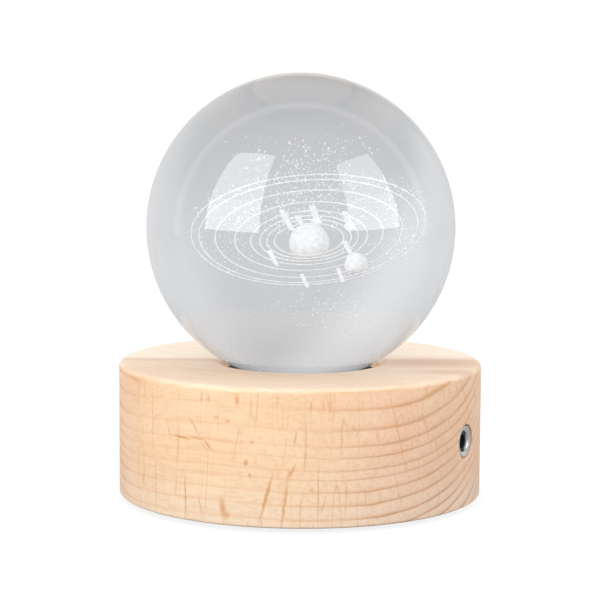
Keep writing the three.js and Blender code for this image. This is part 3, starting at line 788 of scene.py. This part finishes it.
def withYears(tree, tone, slow, late, ends, flat):
    # yearly lines: faint and orange along the grain, strong and brown across it
    tones = wood["tones"]
    patchy = add(tree, "TexNoise", {"Vector": slow, "Scale": 1 / 11, "Detail": 2.0})
    patch = add(tree, "MapRange", [patchy, 0.3, 0.7, 0.5], interpolation_type="LINEAR")
    strength = add(tree, "MapRange", [ends, 0.0, 1.0, *wood["lineStrength"]],
                   interpolation_type="LINEAR")
    faint = add(tree, "MapRange", [flat, 0.0, 1.0, 1.0, wood["topLines"]], interpolation_type="LINEAR")
    shown = add(tree, "Math", [patch, faint], "MULTIPLY")
    amount = add(tree, "Math", [shown, strength], "MULTIPLY")
    lines = add(tree, "Math", [late, amount], "MULTIPLY")
    lineTone = add(tree, "Mix", {"Factor": ends, "A": linear(tones["faintLine"]),
                                 "B": linear(tones["strongLine"])})
    return add(tree, "Mix", {"Factor": lines, "A": tone, "B": lineTone})


def withRays(tree, tone, trunk, wall):
    # rays: thin ribbons that run out from the tree's middle, cut by the wall as upright lines
    ribbon = add(tree, "VectorMath", [trunk, (0.17, 0.17, 0.008)], "MULTIPLY")
    rayNoise = add(tree, "TexNoise", {"Vector": ribbon, "Scale": 1.0, "Detail": 1.0})
    many = add(tree, "Math", [rayNoise, wood["rayCount"]], "MULTIPLY")
    turn = add(tree, "Math", [many, 0.5], "PINGPONG")
    thin = add(tree, "MapRange", [turn, 0.0, 0.11, 1.0, 0.0])
    lengths = add(tree, "VectorMath", [trunk, (0.6, 0.6, 0.05)], "MULTIPLY")
    chosen = add(tree, "TexNoise", {"Vector": lengths, "Scale": 1.0, "Detail": 1.0})
    kept = add(tree, "MapRange", [chosen, 0.42, 0.66, *wood["rayShown"]])
    rays = add(tree, "Math", [thin, kept], "MULTIPLY")
    shown = add(tree, "Math", [rays, wall], "MULTIPLY")
    return add(tree, "Mix", {"Factor": shown, "A": tone, "B": linear(wood["tones"]["ray"])})


def withSpots(tree, tone, spot):
    # streaks and bands: each is a soft spot, stretched and leaning on the wall or lying on the top; the
    # two bands beside the ball are its painted shadow
    ragged = add(tree, "TexNoise", {"Vector": spot, "Scale": 0.9, "Detail": 3.0}).node
    shake = add(tree, "VectorMath", [ragged.outputs["Color"], (0.7, 0.7, 0.7), (-0.35, -0.35, -0.35)],
                "MULTIPLY_ADD")
    shaken = add(tree, "VectorMath", [spot, shake], "ADD")

    def softSpot(location, turns, sizes, darkness, soFar):
        mark = add(tree, "Mapping", [shaken, location, turns, sizes], vector_type="TEXTURE")
        far = add(tree, "VectorMath", [mark], "LENGTH")
        soft = add(tree, "MapRange", [far, 0.1, 1.5, darkness, 0.0])
        if soFar is None:
            return soft
        return add(tree, "Math", [soft, soFar], "MAXIMUM")

    streaks = ballShadowAndBands = None
    for around, height, tall, wide, lean, darkness in wood["streaks"]:
        way = seen(math.sin(math.radians(around)), -math.cos(math.radians(around)))
        location = way * lamp["baseRadius"] + Vector((0, 0, height))
        streaks = softSpot(location, (math.radians(lean), 0, math.atan2(way.y, way.x)), (3, wide, tall),
                           darkness, streaks)
    for right, away, long, wide, lean, darkness in wood["ballShadowAndBands"]:
        location = seen(right, away, lamp["woodTop"])
        ballShadowAndBands = softSpot(location, (0, 0, math.radians(lean + lamp["cameraTurn"])), (long, wide, 1.2),
                         darkness, ballShadowAndBands)
    # the band tone also paints the ball's shadow onto the top, beside the ball
    for shape, colour in ((streaks, wood["tones"]["streak"]), (ballShadowAndBands, wood["tones"]["band"])):
        tone = add(tree, "Mix", {"Factor": shape, "A": tone, "B": linear(colour)})
    return tone


def sandedBeech():
    # Beech, turned and sanded under a thin matt finish, with yearly lines, fine rays and brown streaks
    material, tree, shader, spot = newMaterial("sandedBeech", {
        "IOR": 1.48, "Coat Weight": 0.35, "Coat Roughness": 0.42, "Coat IOR": 1.45})
    slow = add(tree, "VectorMath", [spot, (0.3, 1, 1)], "MULTIPLY")
    wave = add(tree, "TexNoise", {"Vector": slow, "Scale": 1 / 9, "Detail": 2.0, "Roughness": 0.4}).node
    bend = add(tree, "VectorMath", [wave.outputs["Color"], (0.8, 0.8, 0.8), (-0.4, -0.4, -0.4)],
               "MULTIPLY_ADD")
    bent = add(tree, "VectorMath", [spot, bend], "ADD")
    distance, endness, trunk = growth(tree, bent)
    late = seasons(tree, distance)

    # how much the surface cuts across the grain, and whether it is the turned wall or the flat top
    ends = add(tree, "MapRange", [endness, 0.12, 0.75])
    height = add(tree, "SeparateXYZ", [spot]).node.outputs["Z"]
    wallEnd, topFull = (lamp["woodTop"] - depth for depth in wood["topDepth"])
    flat = add(tree, "MapRange", [height, wallEnd, topFull])
    wall = add(tree, "Math", [1.0, flat], "SUBTRACT")
    toned = plainBeech(tree, bent, slow, height, ends, flat)

    # fibres: fine streaks along the grain
    fibre = add(tree, "VectorMath", [trunk, (0.1, 1.5, 1.5)], "MULTIPLY")
    fibres = add(tree, "TexNoise", {"Vector": fibre, "Scale": 1.0, "Detail": 3.0, "Roughness": 0.6})
    fibreTone = add(tree, "ValToRGB", {"Fac": fibres})
    setRamp(fibreTone, [(0.3, wood["tones"]["fibre"]), (0.55, "#ffffff")])
    grained = add(tree, "Mix", {"Factor": 1.0, "A": toned, "B": fibreTone}, blend_type="MULTIPLY")

    ringed = withYears(tree, grained, slow, late, ends, flat)
    rayed = withRays(tree, ringed, trunk, wall)
    banded = withSpots(tree, rayed, spot)
    gloss = add(tree, "MapRange", [fibres, 0.0, 1.0, 0.5, 0.66], interpolation_type="LINEAR")
    relief = add(tree, "Bump", {"Height": fibres, "Strength": 0.25, "Distance": 0.05 * mm})
    connect(shader, {"Base Color": banded, "Roughness": gloss, "Normal": relief})
    return material


def roundedEdge(wallRadius, across, down):
    # from an upright wall up to the flat top
    turns = [math.pi / 2 * i / wood["roundSteps"] for i in range(wood["roundSteps"] + 1)]
    return [(wallRadius + across * (1 - math.cos(turn)), lamp["woodTop"] - down * (1 - math.sin(turn)))
            for turn in turns]


def buildWood():
    bottom, rim, topRound = lamp["woodBottom"], lamp["baseRadius"], wood["topRound"]
    well, seatFloor = lamp["wellRadius"], lamp["seatFloor"]
    ledge, ledgeTop = wood["ledge"]
    cavity, cavityTop = wood["cavity"]
    recess, recessTop = wood["recess"]
    base = turned("turnedBase", [
        (recess, bottom), (rim, bottom), *roundedEdge(rim, -topRound, topRound),
        *reversed(roundedEdge(lamp["seatRadius"], *wood["rimRound"])),
        (lamp["seatRadius"], seatFloor), (well, seatFloor), (well, ledgeTop), (ledge, ledgeTop),
        (ledge, cavityTop), (cavity, cavityTop), (cavity, recessTop), (recess, recessTop),
        (recess, bottom),
    ], wood["steps"])
    softEdges(base, wood["edge"], 60, 4)
    bore = turned("bore", wood["bore"], 96, "X", (0, 0, lamp["jackLevel"]))
    pocket = block("pocket", *wood["pocket"])
    cutAway(base, [bore, pocket])
    smooth(base)
    finished(base, sandedBeech(), "base", ["wood_base"])


buildWood()
print("wooden base is turned")


# Seat ring and light window, under the ball
seat = {
    "steps": 192,
    "outer": 20.1,
    "top": 33.4,
    "outerTop": 32.65,  # its top falls outwards from where the ball rests
    "bandGap": 0.3,  # between the ring and the ball
    "bandBottom": 33.0,
    "bandSteps": 6,
    "window": 13.71,
    "windowLevels": (23.8, 25.4),
}


def buildSeat():
    # Soft rubber, moulded: matt black with the fine grain of the mould; on the seat ring the black is
    # partly painted shade, standing in for the shade in the gap beside the ball
    rubber = speckled("mouldedBlackRubber", ("#1b1b1c", "#262627"), (0.72, 0.9), 0.25, 0.25,
                      {"Specular IOR Level": 0.35})
    reach = lamp["ballRadius"] + seat["bandGap"]
    band = []
    for i in range(seat["bandSteps"] + 1):
        height = seat["top"] + (seat["bandBottom"] - seat["top"]) * i / seat["bandSteps"]
        band.append((math.sqrt(reach ** 2 - (lamp["ballCentre"] - height) ** 2), height))
    inner = band[-1][0]
    floor = lamp["seatFloor"]
    ring = turned("seatRingMoulded", [
        (inner, floor), (seat["outer"], floor), (seat["outer"], seat["outerTop"]), *band, (inner, floor),
    ], seat["steps"])
    softEdges(ring, 0.12, 40)
    smooth(ring, 40)
    finished(ring, rubber, "base", ["seat_ring"])

    # Acrylic, sawn and frosted on both faces: milky white, with a fine blasted grain
    frosted = speckled("frostedAcrylic", ("#eceeef", "#f8f9f9"), (0.5, 0.7), 0.3, 0.2,
                       {"IOR": 1.49, "Transmission Weight": 0.55})
    low, high = seat["windowLevels"]
    window = turned("windowDisc", [(0, low), (seat["window"], low), (seat["window"], high), (0, high)],
                    seat["steps"])
    softEdges(window, 0.15, 60)
    smooth(window, 15)
    finished(window, frosted, "base", ["light_window"])
    return rubber


blackRubber = buildSeat()
print("seat ring and window are in place")


# LED board, with six LEDs on top and the resistors and screws below
board = {
    "top": 21.5,  # level that the LEDs stand on
    "ledSide": 5.0,
    "ledHeight": 1.6,
    "dishRadius": 2.0,
    "dishDepth": 0.5,
    "ledCircle": 7.57,
    "ledCount": 5,
    "resistorMiddle": -6.08,
    "resistorEnd": 1.15,
}


def buildBoard():
    # Glass-fibre board under white solder mask: satin, with the weave just showing through
    mask, tree, shader, spot = newMaterial("whiteSolderMask", {"Roughness": 0.38, "IOR": 1.5})
    weave = add(tree, "TexBrick", {"Vector": spot, "Color1": linear("#f1f3f0"),
                                   "Color2": linear("#eaecea"), "Mortar": linear("#e3e6e2"),
                                   "Scale": 1.0, "Mortar Size": 0.03, "Brick Width": 0.5,
                                   "Row Height": 0.5}, offset=0.5).node
    relief = add(tree, "Bump", {"Height": weave.outputs["Fac"], "Strength": 0.15,
                                "Distance": 0.03 * mm})
    connect(shader, {"Base Color": weave.outputs["Color"], "Normal": relief})
    dressed(mask, "led_board")

    # White moulded LED body round a dish of pale yellow phosphor gel
    body, tree, shader, spot = newMaterial("ledBodyAndPhosphor", {"IOR": 1.5})
    grain = add(tree, "TexNoise", {"Vector": spot, "Scale": 3.0, "Detail": 3.0})
    white = add(tree, "ValToRGB", {"Fac": grain})
    setRamp(white, [(0.35, "#eeeeea"), (0.65, "#f7f7f4")])
    yellow = add(tree, "ValToRGB", {"Fac": grain})
    setRamp(yellow, [(0.35, "#ecd98e"), (0.65, "#f4e6a6")])
    nearest = None
    places = [(0, 0, 0), *ringOf(board["ledCount"], board["ledCircle"], 0)]
    flat = add(tree, "VectorMath", [spot, (1, 1, 0)], "MULTIPLY")
    for x, y, turn in places:
        gap = add(tree, "VectorMath", [flat, (x, y, 0)], "DISTANCE")
        nearest = gap if nearest is None else add(tree, "Math", [gap, nearest], "MINIMUM")
    inDish = add(tree, "Math", [nearest, board["dishRadius"] + 0.02], "LESS_THAN")
    tone = add(tree, "Mix", {"Factor": inDish, "A": white, "B": yellow})
    gloss = add(tree, "MapRange", [inDish, 0.0, 1.0, 0.45, 0.22], interpolation_type="LINEAR")
    connect(shader, {"Base Color": tone, "Roughness": gloss})
    half = board["ledSide"] / 2
    led = block("ledBody", (-half, -half, 0), (half, half, board["ledHeight"]))
    dishTop, dishFloor = board["ledHeight"], board["ledHeight"] - board["dishDepth"]
    dish = turned("dish", [(0, dishFloor), (board["dishRadius"] - 0.3, dishFloor),
                           (board["dishRadius"], dishTop + 0.001), (board["dishRadius"], 3), (0, 3)], 48)
    cutAway(led, [dish])
    softEdges(led, 0.08, 40)
    smooth(led, 15)
    spread(led, "ledBody", places, board["top"], body, "led")

    # Chip resistors: dull black glaze between tinned end caps
    chip, tree, shader, spot = newMaterial("chipResistor", {"IOR": 1.5, "Roughness": 0.4})
    grain = add(tree, "TexNoise", {"Vector": spot, "Scale": 6.0, "Detail": 2.0})
    glaze = add(tree, "ValToRGB", {"Fac": grain})
    setRamp(glaze, [(0.35, "#1f2023"), (0.65, "#2b2c30")])
    parts = add(tree, "SeparateXYZ", [spot]).node
    middle = add(tree, "Math", [parts.outputs["X"], board["resistorMiddle"]], "SUBTRACT")
    out = add(tree, "Math", [middle], "ABSOLUTE")
    cap = add(tree, "Math", [out, board["resistorEnd"]], "GREATER_THAN")
    tone = add(tree, "Mix", {"Factor": cap, "A": glaze, "B": linear("#cfd0cc")})
    connect(shader, {"Base Color": tone, "Metallic": cap})
    dressed(chip, "resistor_1", "resistor_2")


buildBoard()
print("LED board is fitted")


# Power jack
jack = {
    "steps": 96,
    "tail": 12.95,  # length behind the face
}


def buildJack():
    # Nickel plate on turned brass: bright and warm grey, with the fine lines of the lathe
    nickel = speckled("nickelPlatedBrass", ("#b9b7b3", "#d3d1cd"), (0.10, 0.24), 0.35, 0.05,
                      {"Metallic": 1.0}, (3, 1, 1))
    centre = (lamp["jackFace"], 0, lamp["jackLevel"])
    bushing = turned("jackBushingTurned", [
        (3.5, -jack["tail"]), (3.5, -1.5), (4.05, -1.5), (4.05, -0.22), (4.0, -0.1), (3.9, -0.02),
        (3.78, 0), (3.55, 0), (3.42, -0.04), (3.1, -0.18), (2.82, -0.31), (2.66, -0.4), (2.6, -0.5),
        (2.6, -jack["tail"]), (3.5, -jack["tail"])], jack["steps"], "X", centre)
    smooth(bushing, 40)
    finished(bushing, nickel, "base", ["jack_bushing"])
    dressed(nickel, "jack_center_pin", "jack_washer", "jack_nut")

    # Moulded nylon, black: fine and matt
    nylon = speckled("mouldedBlackNylon", ("#111214", "#1c1d20"), (0.5, 0.68), 0.3, 0.15)
    dressed(nylon, "jack_insulator")

    # Tin-plated brass strip: satin, with rolling lines along it
    tinned = speckled("tinnedBrassStrip", ("#bdb9aa", "#d2cdbd"), (0.3, 0.45), 0.3, 0.08,
                      {"Metallic": 1.0}, (0.2, 1, 1))
    dressed(tinned, "jack_sleeve_contact", "jack_pin_lug")

    # Soft vinyl on the wires and polyolefin sleeves: slightly waxy, faintly uneven
    red = speckled("redVinyl", ("#a8201a", "#bb2d24"), (0.4, 0.55), 0.8, 0.12)
    black = speckled("blackVinyl", ("#151618", "#222326"), (0.4, 0.55), 0.8, 0.12)
    dressed(red, "wire_red", "heat_shrink_red")
    dressed(black, "wire_black", "heat_shrink_black")


buildJack()
print("power jack is fitted")


# Underside: cover, screws and feet
under = {
    "steps": 192,
    "cover": 40.15,
    "coverTop": 3.6,
    "count": 4,  # of the screws, and of the feet
    "screwCircle": 36.8,
    "sinkRadius": 2.8,
    "holeRadius": 1.5,
    "footCircle": 30.15,
    "footRadius": 5.0,
    "footTop": 2.1,
    "footPocket": 2.2,
    "footGap": 0.3,
}


def buildUnderside():
    # ABS sheet, moulded against a spark-eroded face: matt black with an even fine stipple
    stippled = speckled("stippledBlackPlastic", ("#141517", "#1e1f22"), (0.55, 0.75), 0.45, 0.5)
    bottom, top = lamp["woodBottom"], under["coverTop"]
    cover = turned("coverPlate", [(0, bottom), (under["cover"], bottom), (under["cover"], top), (0, top)],
                   under["steps"])
    screwPlaces = ringOf(under["count"], under["screwCircle"], 45)
    footPlaces = [(x, y, 0) for x, y, turn in ringOf(under["count"], under["footCircle"], 0)]
    wide, narrow = under["sinkRadius"], under["holeRadius"]
    sink = turned("sink", [(0, bottom - 1), (wide, bottom - 1), (wide, bottom + 0.3),
                           (narrow, bottom + 1.6), (narrow, top + 1), (0, top + 1)], 48)
    pocketRadius = under["footRadius"] + under["footGap"]
    recess = turned("recess", [(0, bottom - 1), (pocketRadius, bottom - 1),
                               (pocketRadius, under["footPocket"]), (0, under["footPocket"])], 96)
    cutters = [copied(sink, f"sink{i}", (x, y, 0)) for i, (x, y, turn) in enumerate(screwPlaces)]
    cutters += [copied(recess, f"recess{i}", (x, y, 0)) for i, (x, y, turn) in enumerate(footPlaces)]
    bpy.data.objects.remove(sink)
    bpy.data.objects.remove(recess)
    cutAway(cover, [joined(cutters, "coverCutters")])
    softEdges(cover, 0.2, 60)
    smooth(cover, 15)
    finished(cover, stippled, "base", ["bottom_cover"])

    # Steel wire, headed and zinc plated: bluish bright, slightly cloudy
    zinc = speckled("zincPlatedSteel", ("#b3b7bb", "#cdd1d4"), (0.25, 0.42), 0.5, 0.08, {"Metallic": 1.0})
    screw = turned("coverScrew", [
        (0, 0.06), (1.2, 0.04), (2.2, 0.0), (2.42, 0.06), (2.5, 0.2), (2.45, 0.34), (1.2, 1.6),
        (1.2, 7.8), (0, 9.0)], 64)
    cutAway(screw, [block("crossA", (-1.3, -0.4, -1), (1.3, 0.4, 0.8)),
                    block("crossB", (-0.4, -1.3, -1), (0.4, 1.3, 0.8))])
    smooth(screw, 35)
    spread(screw, "coverScrew", screwPlaces, bottom, zinc, "cover_screw")
    dressed(zinc, "board_screw_1", "board_screw_2", "board_screw_3")

    radius = under["footRadius"]
    foot = turned("foot", [
        (0, 0), (radius - 0.6, 0), (radius - 0.3, 0.08), (radius - 0.08, 0.3), (radius, 0.6),
        (radius, under["footTop"]), (0, under["footTop"])], 96)
    smooth(foot, 50)
    spread(foot, "footPad", footPlaces, 0, blackRubber, "rubber_foot")


buildUnderside()
print("underside is closed")
